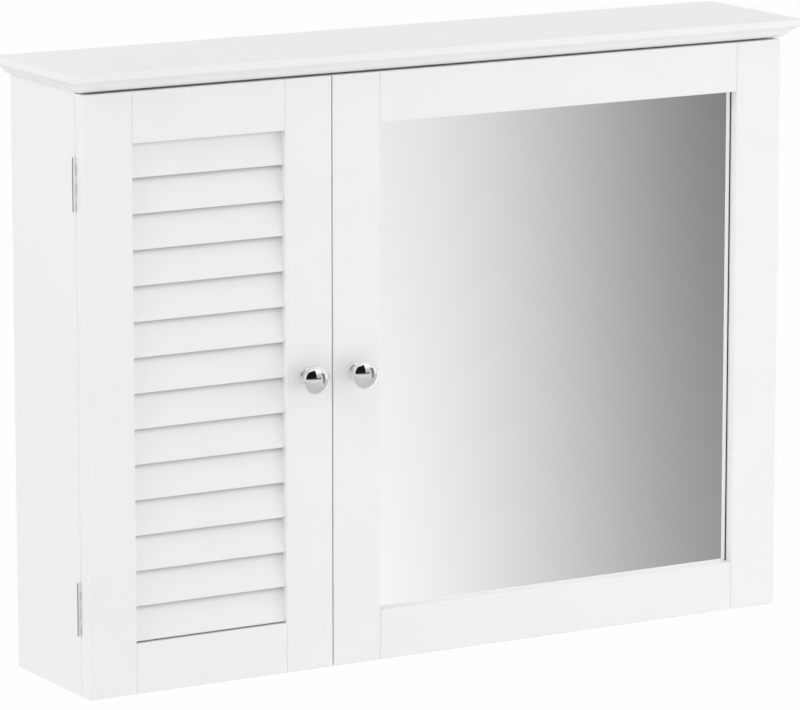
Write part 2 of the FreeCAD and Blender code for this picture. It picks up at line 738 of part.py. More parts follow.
def hinge_leaf(name, side, low_z, backward, first_knuckle, screws, wood):
    """One leaf with its knuckles; backward is 1 for the leaf on the side panel, -1 on the door."""
    axis_x = side * (half + s.hinge_offset)
    high_z = low_z + s.hinge_height
    face_y = hinge_y + backward * s.leaf_gap / 2
    seat_y = face_y + backward * s.leaf_thickness
    low_y, high_y = (face_y, seat_y) if backward > 0 else (seat_y, face_y)
    solids = [hinge_block(side, axis_x, plate_start, s.leaf_width, low_y, high_y, low_z, high_z)]
    for index in range(first_knuckle, KNUCKLES, 2):
        start = low_z + index * (knuckle_length + s.knuckle_gap)
        end = start + knuckle_length
        solids.append(rod((axis_x, hinge_y, start), "+Z", s.knuckle_radius, knuckle_length))
        tab_end = plate_start + s.leaf_relief
        solids.append(hinge_block(side, axis_x, bore_radius, tab_end, low_y, high_y, start, end))
    tools = [rod((axis_x, hinge_y, low_z), "+Z", bore_radius, s.hinge_height)]
    into_wood = "+Y" if backward > 0 else "-Y"
    screw_x = axis_x - side * (plate_start + s.leaf_width) / 2
    for screw_z in (low_z + s.leaf_screw_inset, high_z - s.leaf_screw_inset):
        fixed_at = (screw_x, face_y, screw_z)
        hole = screw(fixed_at, into_wood, s.fitting_play)
        tools.append(hole)
        hollow_out(hole, [wood])
        screws.append(screw(fixed_at, into_wood))
    piece(name, cut(fuse(solids), tools))
    play = s.fit_clearance
    gain = hinge_block(
        side, axis_x, s.hinge_offset - play, s.leaf_width + play, low_y, high_y, low_z - play, high_z + play
    )
    hollow_out(gain, [wood])


for side, hand, side_board, door, stile, screws in (
    (-1, "left", "left_side_panel", "louvre_door", "louvre_door_left_stile", louvre_screws),
    (1, "right", "right_side_panel", "mirror_door", "mirror_door_right_stile", mirror_screws),
):
    for level, low_z in (
        ("lower", base + s.hinge_inset),
        ("upper", door_top - s.hinge_inset - s.hinge_height),
    ):
        hinge_leaf(f"{hand}_{level}_frame_leaf", side, low_z, 1, 0, carcass_screws, side_board)
        hinge_leaf(f"{door}_{level}_leaf", side, low_z, -1, 1, screws, stile)
        pin_at = (side * (half + s.hinge_offset), hinge_y, low_z)
        hinge_pins.append(rod(pin_at, "+Z", s.hinge_pin_radius, s.hinge_height))
group("hinge_pins", hinge_pins)

# Magnetic catches on the partition, and the steel plates on the doors that they hold.
catches = []
for face_x, outward, into_wood, door, stile, screws, drop in (
    (partition_left, -1, "+X", "louvre_door", "louvre_door_right_stile", louvre_screws, 0),
    (partition_right, 1, "-X", "mirror_door", "mirror_door_left_stile", mirror_screws, s.catch_step),
):
    middle_z = top - s.catch_inset - drop
    catch_rear = carcass_front + s.catch_depth
    solids = []
    for reach, length in ((s.catch_lug, s.catch_length), (s.catch_width, s.catch_case)):
        far_x = face_x + outward * reach
        low_x, high_x = (face_x, far_x) if outward > 0 else (far_x, face_x)
        solids.append(
            block(
                (low_x, carcass_front, middle_z - length / 2), (high_x, catch_rear, middle_z + length / 2)
            )
        )
    tools = []
    screw_y = carcass_front + s.catch_depth / 2
    screw_reach = s.catch_length / 2 - s.catch_screw_inset
    for screw_z in (middle_z - screw_reach, middle_z + screw_reach):
        fixed_at = (face_x + outward * s.catch_lug, screw_y, screw_z)
        hole = screw(fixed_at, into_wood, s.fitting_play)
        tools.append(hole)
        hollow_out(hole, ["centre_partition"])
        carcass_screws.append(screw(fixed_at, into_wood))
    catches.append(cut(fuse(solids), tools))

    near_x, far_x = face_x, face_x + outward * s.catch_width
    low_x, high_x = (near_x, far_x) if outward > 0 else (far_x, near_x)
    strike_rear = door_back + s.strike_thickness
    strike = block(
        (low_x, door_back, middle_z - s.strike_length / 2),
        (high_x, strike_rear, middle_z + s.strike_length / 2),
    )
    fixed_at = ((near_x + far_x) / 2, strike_rear, middle_z)
    hole = screw(fixed_at, "-Y", s.fitting_play)
    piece(f"{door}_strike_plate", cut(strike, [hole]))
    hollow_out(hole, [stile])
    screws.append(screw(fixed_at, "-Y"))
group("magnet_catches", catches)
group("carcass_screws", carcass_screws)
group("louvre_door_screws", louvre_screws)
group("mirror_door_screws", mirror_screws)


def knob(door, stile, middle_x):
    """A turned knob on the stile, and the machine screw that holds it from behind."""
    body = doc.addObject("PartDesign::Body", "knob")
    foot_top = s.knob_foot + s.knob_foot_round
    flare_radius = s.knob_stem + s.knob_flare
    flare_top = s.knob_stem_top + s.knob_flare
    bowl = s.knob_head - flare_radius
    widest = flare_top + bowl
    # The dome's radius makes it run smoothly into the rim.
    inset = s.knob_head - s.knob_rim
    dome_radius = (inset * inset + s.knob_dome * s.knob_dome - s.knob_rim * s.knob_rim) / (
        2 * (s.knob_dome - s.knob_rim)
    )
    tip = widest + s.knob_dome
    share = dome_radius / (dome_radius - s.knob_rim)
    dome_centre = tip - dome_radius
    corners = [
        (0, 0),
        (s.knob_rosette, 0),
        (s.knob_rosette, s.knob_foot, s.knob_foot_round, 1),
        (s.knob_rosette - s.knob_foot_round, foot_top),
        (s.knob_stem, foot_top),
        (s.knob_stem, s.knob_stem_top, s.knob_flare, -1),
        (flare_radius, flare_top, bowl, 1),
        (s.knob_head, widest, s.knob_rim, 1),
        (inset * share, dome_centre + (widest - dome_centre) * share, dome_radius, 1),
        (0, tip),
    ]
    turning = body.newObject("PartDesign::Revolution", "turning")
    turning.Profile = outline(body, "XY_Plane", corners)
    turning.ReferenceAxis = (turning.Profile[0], ["V_Axis"])
    turning.Angle = 360
    body.Placement.Rotation = Rotation(Vector(0, 0, 1), 180)
    knob_z = base + door_tall / 2
    place(body, (middle_x, door_front, knob_z))

    behind = (middle_x, door_back, knob_z)
    reach = s.door_thickness + s.knob_screw_grip
    shank = rod(behind, "-Y", s.knob_screw_radius, reach)
    head = rod(behind, "+Y", s.knob_screw_head, s.knob_screw_head_height)
    piece(f"{door}_knob_screw", fuse([shank, head]))
    hole = rod(behind, "-Y", s.knob_screw_radius + s.fitting_play, reach + s.fit_clearance)
    piece(f"{door}_knob", cut(body, [hole]))
    hollow_out(hole, [stile])


knob("louvre_door", "louvre_door_right_stile", louvre_right - s.louvre_knob_inset)
knob("mirror_door", "mirror_door_left_stile", mirror_left + s.mirror_knob_inset)

# Boards and frame members, less all that is cut out of them.
for name, blank in boards.items():
    tools = hollows.get(name, [])
    piece(name, cut(blank, tools) if tools else blank)

doc.recompute()
for item in doc.Objects:
    if "Invalid" in item.State or "Error" in item.State:
        raise RuntimeError(f"{item.Name} ({item.Label}) failed: {item.State}")
for result in cuts_made:
    if result.Base.Shape.Volume - result.Shape.Volume < 0.01:
        raise RuntimeError(f"{result.Label} takes nothing away")
for name, item in pieces.items():
    if item.Shape.isNull() or not item.Shape.isValid() or not item.Shape.Solids:
        raise RuntimeError(f"{name} has no valid shape")

os.makedirs("parts", exist_ok=True)
for name, item in pieces.items():
    item.Shape.exportStep(f"parts/{name}.step")
print(f"{len(pieces)} pieces written")
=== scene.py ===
import math

import bmesh
import bpy
from mathutils import Matrix, Vector


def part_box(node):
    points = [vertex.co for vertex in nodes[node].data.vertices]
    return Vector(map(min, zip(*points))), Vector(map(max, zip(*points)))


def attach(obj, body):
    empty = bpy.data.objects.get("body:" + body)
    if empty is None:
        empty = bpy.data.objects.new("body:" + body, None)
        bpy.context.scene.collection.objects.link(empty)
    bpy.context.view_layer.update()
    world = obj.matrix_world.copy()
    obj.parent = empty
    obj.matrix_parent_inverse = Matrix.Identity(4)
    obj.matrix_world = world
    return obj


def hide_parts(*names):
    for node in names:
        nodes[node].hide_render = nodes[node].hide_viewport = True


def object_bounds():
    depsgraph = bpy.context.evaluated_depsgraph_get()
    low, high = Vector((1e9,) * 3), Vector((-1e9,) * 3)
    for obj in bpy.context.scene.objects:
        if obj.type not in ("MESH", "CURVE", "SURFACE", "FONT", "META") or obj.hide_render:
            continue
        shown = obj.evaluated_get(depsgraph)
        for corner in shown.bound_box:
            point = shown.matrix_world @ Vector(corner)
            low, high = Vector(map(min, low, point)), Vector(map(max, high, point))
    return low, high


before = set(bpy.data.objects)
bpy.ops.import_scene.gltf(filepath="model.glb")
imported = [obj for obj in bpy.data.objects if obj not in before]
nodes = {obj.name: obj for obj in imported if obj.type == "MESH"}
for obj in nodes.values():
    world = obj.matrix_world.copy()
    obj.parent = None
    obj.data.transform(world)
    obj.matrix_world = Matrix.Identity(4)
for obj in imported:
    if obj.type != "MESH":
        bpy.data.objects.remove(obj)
cad_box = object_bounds()

# Carcass: two sides, a bottom board, a partition, a hanging rail and four loose shelves, sawn from
# fibreboard and sprayed with white satin lacquer. Hidden dowels, cam bolts and cam locks draw the
# fixed boards together.
CARCASS_WHITE = (0.87, 0.87, 0.866)
CARCASS_ROUGHNESS = (0.36, 0.46)
MOTTLED_SHARE = 0.985
NOISE_REACH = (0.3, 0.7)
CARCASS_BOARDS = (
    "left_side_panel",
    "right_side_panel",
    "bottom_panel",
    "centre_partition",
    "hanging_rail",
    "left_upper_shelf",
    "left_lower_shelf",
    "right_upper_shelf",
    "right_lower_shelf",
)


def new_finish(name):
    """A bare material: the material, its node tree, its shader and its Object coordinates."""
    material = bpy.data.materials.new(name)
    material.use_nodes = True
    tree = material.node_tree
    shader = tree.nodes["Principled BSDF"]
    place = tree.nodes.new("ShaderNodeTexCoord").outputs["Object"]
    return material, tree, shader, place


def noise(tree, place, per_metre, detail=2.0):
    """Soft noise with about so many blotches to a metre."""
    texture = tree.nodes.new("ShaderNodeTexNoise")
    texture.inputs["Scale"].default_value = per_metre
    texture.inputs["Detail"].default_value = detail
    tree.links.new(place, texture.inputs["Vector"])
    return texture.outputs["Fac"]


def stretch(tree, value, places, levels, manner="LINEAR"):
    """Runs from one level to the other while a value passes from one place to the other."""
    mapped = tree.nodes.new("ShaderNodeMapRange")
    mapped.interpolation_type = manner
    for name, number in zip(("From Min", "From Max", "To Min", "To Max"), (*places, *levels)):
        mapped.inputs[name].default_value = number
    tree.links.new(value, mapped.inputs["Value"])
    return mapped.outputs["Result"]


def blotches(tree, place, per_metre, detail=2.0, levels=(0.0, 1.0)):
    """Noise, which mostly keeps to the middle of its range, stretched between two levels."""
    return stretch(tree, noise(tree, place, per_metre, detail), NOISE_REACH, levels)


def mingle(tree, share, first, second):
    """Two colours mixed by a share from 0 to 1; a colour is three numbers or an output."""
    mix = tree.nodes.new("ShaderNodeMix")
    mix.data_type = "RGBA"
    tree.links.new(share, mix.inputs["Factor"])
    for name, colour in (("A", first), ("B", second)):
        socket = [item for item in mix.inputs if item.name == name and item.type == "RGBA"][0]
        if isinstance(colour, tuple):
            socket.default_value = (*colour, 1.0)
        else:
            tree.links.new(colour, socket)
    return [item for item in mix.outputs if item.type == "RGBA"][0]


def tint(tree, shader, share, first, second):
    """Colours a surface with two colours mixed by a share."""
    tree.links.new(mingle(tree, share, first, second), shader.inputs["Base Color"])


def roughen(tree, shader, place, per_metre, roughness):
    """Makes the shine of a surface wander between two roughnesses."""
    uneven = blotches(tree, place, per_metre, levels=roughness)
    tree.links.new(uneven, shader.inputs["Roughness"])


def ripple(tree, shader, height, depth):
    """A fine relief on the surface, so many metres deep."""
    bump = tree.nodes.new("ShaderNodeBump")
    bump.inputs["Strength"].default_value = 1.0
    bump.inputs["Distance"].default_value = depth
    tree.links.new(height, bump.inputs["Height"])
    tree.links.new(bump.outputs["Normal"], shader.inputs["Normal"])


def sprayed_lacquer(name, white, roughness):
    """White satin lacquer: a faint mottle, uneven gloss and the ripple of the spray."""
    material, tree, shader, place = new_finish(name)
    mottle = blotches(tree, place, per_metre=11, detail=3.0)
    tint(tree, shader, mottle, tuple(channel * MOTTLED_SHARE for channel in white), white)
    roughen(tree, shader, place, per_metre=45, roughness=roughness)
    ripple(tree, shader, noise(tree, place, per_metre=650), depth=0.00001)
    return material


def finish(material, *names):
    """Gives CAD nodes their material."""
    for name in names:
        nodes[name].data.materials.clear()
        nodes[name].data.materials.append(material)


finish(sprayed_lacquer("carcass_lacquer", CARCASS_WHITE, CARCASS_ROUGHNESS), *CARCASS_BOARDS)

# Cornice: one board with a moulded edge along the front and both ends, on top of the sides. The
# moulding is cut by a shaped cutter and sanded, so its lacquer is a little less even.
CORNICE_ROUGHNESS = (0.38, 0.5)
finish(sprayed_lacquer("cornice_lacquer", CARCASS_WHITE, CORNICE_ROUGHNESS), "cornice_top")

# Back panel and mirror backing: thin hardboard, slid into grooves in the sides and laid behind the
# glass. One face is painted white, towards the shelves, and the other is raw brown fibre.
HARDBOARD_BROWN = (0.36, 0.235, 0.135)
HARDBOARD_DARK = (0.27, 0.165, 0.09)
HARDBOARD_PAINT = (0.83, 0.83, 0.82)
HARDBOARD_ROUGHNESS = (0.55, 0.75)
PAINT_DEPTH = 0.0002


def axes(tree, vector):
    """The X, Y and Z of a vector."""
    split = tree.nodes.new("ShaderNodeSeparateXYZ")
    tree.links.new(vector, split.inputs["Vector"])
    return split.outputs


def feed(tree, value, socket):
    """Links an output to a socket, or sets the socket to a number."""
    if isinstance(value, bpy.types.NodeSocket):
        tree.links.new(value, socket)
    else:
        socket.default_value = value


def reckon(tree, operation, first, second=0.0):
    """One step of arithmetic on numbers or outputs."""
    step = tree.nodes.new("ShaderNodeMath")
    step.operation = operation
    feed(tree, first, step.inputs[0])
    feed(tree, second, step.inputs[1])
    return step.outputs["Value"]


def hardboard(name, side, level):
    """Raw fibre, and paint on the side of a level that a comparison of Y names."""
    material, tree, shader, place = new_finish(name)
    fibres = blotches(tree, place, per_metre=420, detail=6.0)
    raw = mingle(tree, fibres, HARDBOARD_DARK, HARDBOARD_BROWN)
    painted = reckon(tree, side, axes(tree, place)["Y"], level)
    tint(tree, shader, painted, raw, HARDBOARD_PAINT)
    roughen(tree, shader, place, per_metre=90, roughness=HARDBOARD_ROUGHNESS)
    ripple(tree, shader, fibres, depth=0.00004)
    return material


back_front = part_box("back_panel")[0].y
backing_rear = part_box("mirror_backing")[1].y
finish(hardboard("back_hardboard", "LESS_THAN", back_front + PAINT_DEPTH), "back_panel")
finish(hardboard("mirror_hardboard", "GREATER_THAN", backing_rear - PAINT_DEPTH), "mirror_backing")

# Dowels: turned beech pegs glued into the boards, out of sight once the carcass is together.
# The grain runs round the peg as darker flecks.
BEECH_PALE = (0.6, 0.41, 0.24)
BEECH_FLECK = (0.42, 0.25, 0.13)
BEECH_ROUGHNESS = (0.5, 0.7)
GRAIN_PER_METRE = 260.0
GRAIN_WAVER = 5.0
GRAIN_DETAIL = 3.0


def beech(name):
    """Pale wood with wavering flecks."""
    material, tree, shader, place = new_finish(name)
    grain = tree.nodes.new("ShaderNodeTexWave")
    grain.inputs["Scale"].default_value = GRAIN_PER_METRE
    grain.inputs["Distortion"].default_value = GRAIN_WAVER
    grain.inputs["Detail"].default_value = GRAIN_DETAIL
    tree.links.new(place, grain.inputs["Vector"])
    tint(tree, shader, grain.outputs["Fac"], BEECH_PALE, BEECH_FLECK)
    roughen(tree, shader, place, per_metre=300, roughness=BEECH_ROUGHNESS)
    return material


finish(beech("dowel_beech"), "carcass_dowels")

# Small steel fittings: cam bolts, shelf pins, mirror clips and strike plates, zinc plated in a
# drum, which leaves a dull, slightly cloudy shine.
ZINC = (0.62, 0.625, 0.63)
ZINC_CLOUD = (0.5, 0.505, 0.52)
ZINC_ROUGHNESS = (0.24, 0.4)


def plated_zinc(name):
    """Dull metal with clouds in its colour and a fine grain."""
    material, tree, shader, place = new_finish(name)
    shader.inputs["Metallic"].default_value = 1.0
    clouds = blotches(tree, place, per_metre=260, detail=4.0)
    tint(tree, shader, clouds, ZINC_CLOUD, ZINC)
    roughen(tree, shader, place, per_metre=700, roughness=ZINC_ROUGHNESS)
    ripple(tree, shader, noise(tree, place, per_metre=2500), depth=0.000004)
    return material


zinc = plated_zinc("zinc_plate")
finish(
    zinc,
    "cam_bolts",
    "shelf_pins",
    "mirror_clips",
    "louvre_door_strike_plate",
    "mirror_door_strike_plate",
)

# Louvred door: two stiles and two tenoned rails with fourteen tilted slats housed in the stiles,
# all of fibreboard, glued up and then sprayed together. Shade is painted into the colour of each
# slat's front, darker towards the lip of the slat above, to deepen the shadow line there.
DOOR_WHITE = (0.87, 0.87, 0.867)
DOOR_ROUGHNESS = (0.33, 0.43)
DOOR_MEMBERS = ("left_stile", "right_stile", "top_rail", "bottom_rail")
SLAT_LEAN = math.radians(12.0)
PAINTED_CREVICE_SHADE = (0.44, 0.44, 0.438)
SHADE_BELOW_LIP = 0.0072
SHADE_ABOVE_LIP = 0.0002


def slat_lacquer_painted_shade(name):
    """The doors' lacquer, with painted shade darkening the front of a slat towards the lip of the
    one above it.
    """
    material = sprayed_lacquer(name, DOOR_WHITE, DOOR_ROUGHNESS)
    tree = material.node_tree
    shader = tree.nodes["Principled BSDF"]
    even_white = shader.inputs["Base Color"].links[0].from_socket
    slat_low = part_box("louvre_slat_01")[0]
    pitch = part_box("louvre_slat_02")[0].z - slat_low.z
    heights = (pitch - SHADE_BELOW_LIP, pitch + SHADE_ABOVE_LIP)
    depths = [slat_low.y + height * math.tan(SLAT_LEAN) for height in heights]
    where = tree.nodes.new("ShaderNodeTexCoord").outputs
    # Painted shade: the slat's front turns dark grey towards the lip of the slat above.
    painted_shade = stretch(tree, axes(tree, where["Object"])["Y"], depths, (0.0, 1.0), "SMOOTHSTEP")
    front = reckon(tree, "LESS_THAN", axes(tree, where["Normal"])["Y"], 0.0)
    tint(tree, shader, reckon(tree, "MULTIPLY", painted_shade, front), even_white, PAINTED_CREVICE_SHADE)
    return material


door_lacquer = sprayed_lacquer("door_lacquer", DOOR_WHITE, DOOR_ROUGHNESS)
finish(door_lacquer, *[f"louvre_door_{member}" for member in DOOR_MEMBERS])
finish(slat_lacquer_painted_shade("slat_lacquer_painted_shade"), *[name for name in nodes if name.startswith("louvre_slat_")])

# Mirror door: the same kind of frame, with a pane of float glass, silvered on its back, held in a
# rebate behind it by clips. A thin line of painted shade runs along both upright sides of the pane,
# where the glass disappears behind the frame.
SILVER = (0.93, 0.95, 0.945)
SILVER_ROUGHNESS = (0.004, 0.012)
PANE_EDGE_SHADE = (0.055, 0.065, 0.065)
PANE_EDGE_SHADE_WIDTH = 0.0014
PANE_EDGE_SHADE_BLUR = 0.0007
finish(door_lacquer, *[f"mirror_door_{member}" for member in DOOR_MEMBERS])


def silvered_glass(name):
    """Bright metal, but for a painted shade line along the two upright edges of the frame's
    opening.
    """
    material, tree, shader, place = new_finish(name)
    shader.inputs["Metallic"].default_value = 1.0
    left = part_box("mirror_door_left_stile")[1].x
    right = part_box("mirror_door_right_stile")[0].x
    from_middle = reckon(tree, "SUBTRACT", axes(tree, place)["X"], (left + right) / 2)
    line_start = (right - left) / 2 - PANE_EDGE_SHADE_WIDTH
    blur = (line_start - PANE_EDGE_SHADE_BLUR / 2, line_start + PANE_EDGE_SHADE_BLUR / 2)
    sideways = reckon(tree, "ABSOLUTE", from_middle)
    # Painted shade: a thin dark line along the upright edges of the pane.
    edge = stretch(tree, sideways, blur, (0.0, 1.0), "SMOOTHSTEP")
    tint(tree, shader, edge, SILVER, PANE_EDGE_SHADE)
    roughen(tree, shader, place, per_metre=30, roughness=SILVER_ROUGHNESS)
    return material


finish(silvered_glass("silvered_glass"), "mirror_glass")

# Hinges and knobs: butt hinges let into the edges of the doors and sides, and turned knobs bolted
# through the meeting stiles. All are polished and chromed, with a trace of handling on the shine.
CHROME = (0.83, 0.84, 0.85)
CHROME_SHADE = (0.76, 0.77, 0.79)
CHROME_ROUGHNESS = (0.03, 0.07)


def polished_chrome(name):
    """Bright metal, faintly smudged."""
    material, tree, shader, place = new_finish(name)
    shader.inputs["Metallic"].default_value = 1.0
    handling = blotches(tree, place, per_metre=150, detail=3.0)
    tint(tree, shader, handling, CHROME_SHADE, CHROME)
    roughen(tree, shader, place, per_metre=220, roughness=CHROME_ROUGHNESS)
    return material


leaf_names = [name for name in nodes if name.endswith("_leaf")]
finish(
    polished_chrome("polished_chrome"),
    *leaf_names,
    "hinge_pins",
    "louvre_door_knob",
    "mirror_door_knob",
)

# Magnetic catches: a moulded case with two screw lugs on each face of the partition; the steel
# plates on the doors snap against them.
CATCH_PLASTIC = (0.74, 0.74, 0.73)
CATCH_PALER = 1.05
CATCH_ROUGHNESS = (0.42, 0.6)


def moulded_plastic(name):
    """Off-white plastic with the fine grain of its mould."""
    material, tree, shader, place = new_finish(name)
    shade = blotches(tree, place, per_metre=120, detail=3.0)
    paler = tuple(channel * CATCH_PALER for channel in CATCH_PLASTIC)
    tint(tree, shader, shade, CATCH_PLASTIC, paler)
    roughen(tree, shader, place, per_metre=500, roughness=CATCH_ROUGHNESS)
    ripple(tree, shader, noise(tree, place, per_metre=1800), depth=0.00002)
    return material


finish(moulded_plastic("catch_plastic"), "magnet_catches")

# Screws and cam locks: turned steel with a cross recess pressed into the head. The wood screws sit
# flush in the hinge leaves, catches, clips and plates, the knob screws have a flat head on the back
# of the doors, and the cams turn in round pockets of the boards.
WOOD_SCREW = {
    "Head Radius": 0.0024,
    "Head Foot Radius": 0.00125,
    "Head Height": 0.00115,
    "Shank Radius": 0.00125,
    "Shank Length": 0.00885,
    "Recess Length": 0.0026,
    "Recess Width": 0.0006,
    "Recess Depth": 0.0006,
}
KNOB_SCREW = {
    "Head Radius": 0.004,
    "Head Foot Radius": 0.004,
    "Head Height": 0.002,
    "Shank Radius": 0.002,
    "Shank Length": 0.021,
    "Recess Length": 0.0042,
    "Recess Width": 0.0009,
    "Recess Depth": 0.001,
}
CAM_LOCK = {
    "Head Radius": 0.0075,
    "Head Foot Radius": 0.0075,
    "Head Height": 0.0095,
    "Shank Radius": 0.0066,
    "Shank Length": 0.0015,
    "Recess Length": 0.0086,
    "Recess Width": 0.0016,
    "Recess Depth": 0.003,
}
FASTENER_SIDES = 28
SHANK_INTO_HEAD = 0.3
MERGE_DISTANCE = 0.00001


def fastener_tree():
    """A turned head with a cross recess and a plain shank, set on each point along its facing."""
    tree = bpy.data.node_groups.new("cross_recess_fastener", "GeometryNodeTree")
    face = tree.interface
    face.new_socket("Geometry", in_out="INPUT", socket_type="NodeSocketGeometry")
    for name in WOOD_SCREW:
        face.new_socket(name, in_out="INPUT", socket_type="NodeSocketFloat")
    face.new_socket("Material", in_out="INPUT", socket_type="NodeSocketMaterial")
    face.new_socket("Geometry", in_out="OUTPUT", socket_type="NodeSocketGeometry")
    given = tree.nodes.new("NodeGroupInput").outputs
    result = tree.nodes.new("NodeGroupOutput").inputs

    def turned(foot, rim, length, start):
        """A turned piece from a height upwards, wider or narrower at its upper end."""
        cone = tree.nodes.new("GeometryNodeMeshCone")
        feed(tree, FASTENER_SIDES, cone.inputs["Vertices"])
        feed(tree, foot, cone.inputs["Radius Bottom"])
        feed(tree, rim, cone.inputs["Radius Top"])
        feed(tree, length, cone.inputs["Depth"])
        lift = tree.nodes.new("ShaderNodeCombineXYZ")
        feed(tree, start, lift.inputs["Z"])
        move = tree.nodes.new("GeometryNodeTransform")
        tree.links.new(cone.outputs["Mesh"], move.inputs["Geometry"])
        tree.links.new(lift.outputs["Vector"], move.inputs["Translation"])
        return move.outputs["Geometry"]

    def bar(wide, deep):
        """One arm of the cross, half of it above the head."""
        size = tree.nodes.new("ShaderNodeCombineXYZ")
        feed(tree, wide, size.inputs["X"])
        feed(tree, deep, size.inputs["Y"])
        feed(tree, reckon(tree, "MULTIPLY", given["Recess Depth"], 2.0), size.inputs["Z"])
        cube = tree.nodes.new("GeometryNodeMeshCube")
        tree.links.new(size.outputs["Vector"], cube.inputs["Size"])
        return cube.outputs["Mesh"]

    head_start = reckon(tree, "MULTIPLY", given["Head Height"], -1.0)
    head = turned(given["Head Foot Radius"], given["Head Radius"], given["Head Height"], head_start)
    shank_start = reckon(tree, "SUBTRACT", head_start, given["Shank Length"])
    shank_inside = reckon(tree, "MULTIPLY", given["Head Height"], SHANK_INTO_HEAD)
    shank_length = reckon(tree, "ADD", given["Shank Length"], shank_inside)
    shank = turned(given["Shank Radius"], given["Shank Radius"], shank_length, shank_start)
    whole = tree.nodes.new("GeometryNodeMeshBoolean")
    whole.operation = "UNION"
    tree.links.new(head, whole.inputs["Mesh 2"])
    tree.links.new(shank, whole.inputs["Mesh 2"])
    recess = tree.nodes.new("GeometryNodeMeshBoolean")
    recess.operation = "DIFFERENCE"
    tree.links.new(whole.outputs["Mesh"], recess.inputs["Mesh 1"])
    tree.links.new(bar(given["Recess Length"], given["Recess Width"]), recess.inputs["Mesh 2"])
    tree.links.new(bar(given["Recess Width"], given["Recess Length"]), recess.inputs["Mesh 2"])

    facing = tree.nodes.new("GeometryNodeInputNamedAttribute")
    facing.data_type = "FLOAT_VECTOR"
    facing.inputs["Name"].default_value = "facing"
    turn = tree.nodes.new("FunctionNodeAlignRotationToVector")
    turn.axis = "Z"
    tree.links.new(facing.outputs["Attribute"], turn.inputs["Vector"])
    copies = tree.nodes.new("GeometryNodeInstanceOnPoints")
    tree.links.new(given["Geometry"], copies.inputs["Points"])
    tree.links.new(recess.outputs["Mesh"], copies.inputs["Instance"])
    tree.links.new(turn.outputs["Rotation"], copies.inputs["Rotation"])
    real = tree.nodes.new("GeometryNodeRealizeInstances")
    tree.links.new(copies.outputs["Instances"], real.inputs["Geometry"])
    coated = tree.nodes.new("GeometryNodeSetMaterial")
    tree.links.new(real.outputs["Geometry"], coated.inputs["Geometry"])
    tree.links.new(given["Material"], coated.inputs["Material"])
    tree.links.new(coated.outputs["Geometry"], result["Geometry"])
    return tree


def separate_solids(node):
    """The points of each separate fastener of a CAD node."""
    copy = bmesh.new()
    copy.from_mesh(nodes[node].data)
    bmesh.ops.remove_doubles(copy, verts=copy.verts, dist=MERGE_DISTANCE)
    waiting = dict.fromkeys(copy.verts)
    solids = []
    while waiting:
        island = [waiting.popitem()[0]]
        for vertex in island:
            for edge in vertex.link_edges:
                other = edge.other_vert(vertex)
                if other in waiting:
                    del waiting[other]
                    island.append(other)
        solids.append([vertex.co.copy() for vertex in island])
    copy.free()
    return solids


def extent(points):
    """The lowest and the highest corner of the box round some points."""
    low = Vector([min(point[axis] for point in points) for axis in range(3)])
    high = Vector([max(point[axis] for point in points) for axis in range(3)])
    return low, high


def headed(middle, axis, level, sense):
    """A head's middle and its facing, from an axis, a level on it and a sense of 1 or -1."""
    head = middle.copy()
    head[axis] = level
    facing = Vector((0.0, 0.0, 0.0))
    facing[axis] = sense
    return head, facing


def screw_heads(node):
    """Head middles and facings: a screw runs along its longest side, its head at the wider end."""
    found = []
    for points in separate_solids(node):
        low, high = extent(points)
        middle = (low + high) / 2
        axis = max(range(3), key=lambda index: high[index] - low[index])
        width_at_end = [0.0, 0.0]
        for point in points:
            end = 1 if point[axis] > middle[axis] else 0
            away = point - middle
            away[axis] = 0.0
            width_at_end[end] = max(width_at_end[end], away.length)
        if width_at_end[1] > width_at_end[0]:
            found.append(headed(middle, axis, high[axis], 1.0))
        else:
            found.append(headed(middle, axis, low[axis], -1.0))
    return found


def cam_heads(node):
    """Head middles and facings: a cam turns about its shortest side, and its head is flush with the
    nearest face of the board round it."""
    found = []
    for points in separate_solids(node):
        low, high = extent(points)
        middle = (low + high) / 2
        axis = min(range(3), key=lambda index: high[index] - low[index])
        faces = []
        for board in CARCASS_BOARDS:
            board_low, board_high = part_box(board)
            if all(board_low[side] < middle[side] < board_high[side] for side in range(3)):
                faces.append((low[axis] - board_low[axis], low[axis], -1.0))
                faces.append((board_high[axis] - high[axis], high[axis], 1.0))
        found.append(headed(middle, axis, *min(faces)[1:]))
    return found


recessed = fastener_tree()


def set_fasteners(name, body, node, heads, sizes):
    """Turns points with facings into one mesh of fasteners that stands for the CAD node."""
    places, facings = zip(*heads)
    mesh = bpy.data.meshes.new(name)
    mesh.from_pydata(places, [], [])
    attribute = mesh.attributes.new("facing", "FLOAT_VECTOR", "POINT")
    attribute.data.foreach_set("vector", [part for facing in facings for part in facing])
    piece = bpy.data.objects.new(name, mesh)
    bpy.context.scene.collection.objects.link(piece)
    maker = piece.modifiers.new("fasteners", "NODES")
    maker.node_group = recessed
    for item in recessed.interface.items_tree:
        if item.in_out == "INPUT" and item.name in sizes:
            maker[item.identifier] = sizes[item.name]
        if item.in_out == "INPUT" and item.name == "Material":
            maker[item.identifier] = zinc
    evaluated = piece.evaluated_get(bpy.context.evaluated_depsgraph_get())
    made = bpy.data.meshes.new_from_object(evaluated)
    piece.modifiers.remove(maker)
    piece.data = made
    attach(piece, body)
    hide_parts(node)


for name, body in (
    ("carcass_screws", "cabinet"),
    ("louvre_door_screws", "louvre_door"),
    ("mirror_door_screws", "mirror_door"),
):
    set_fasteners(f"{name}_recessed", body, name, screw_heads(name), WOOD_SCREW)
for body in ("louvre_door", "mirror_door"):
    node = f"{body}_knob_screw"
    set_fasteners(f"{node}_recessed", body, node, screw_heads(node), KNOB_SCREW)
set_fasteners("cam_locks_recessed", "cabinet", "cam_locks", cam_heads("cam_locks"), CAM_LOCK)

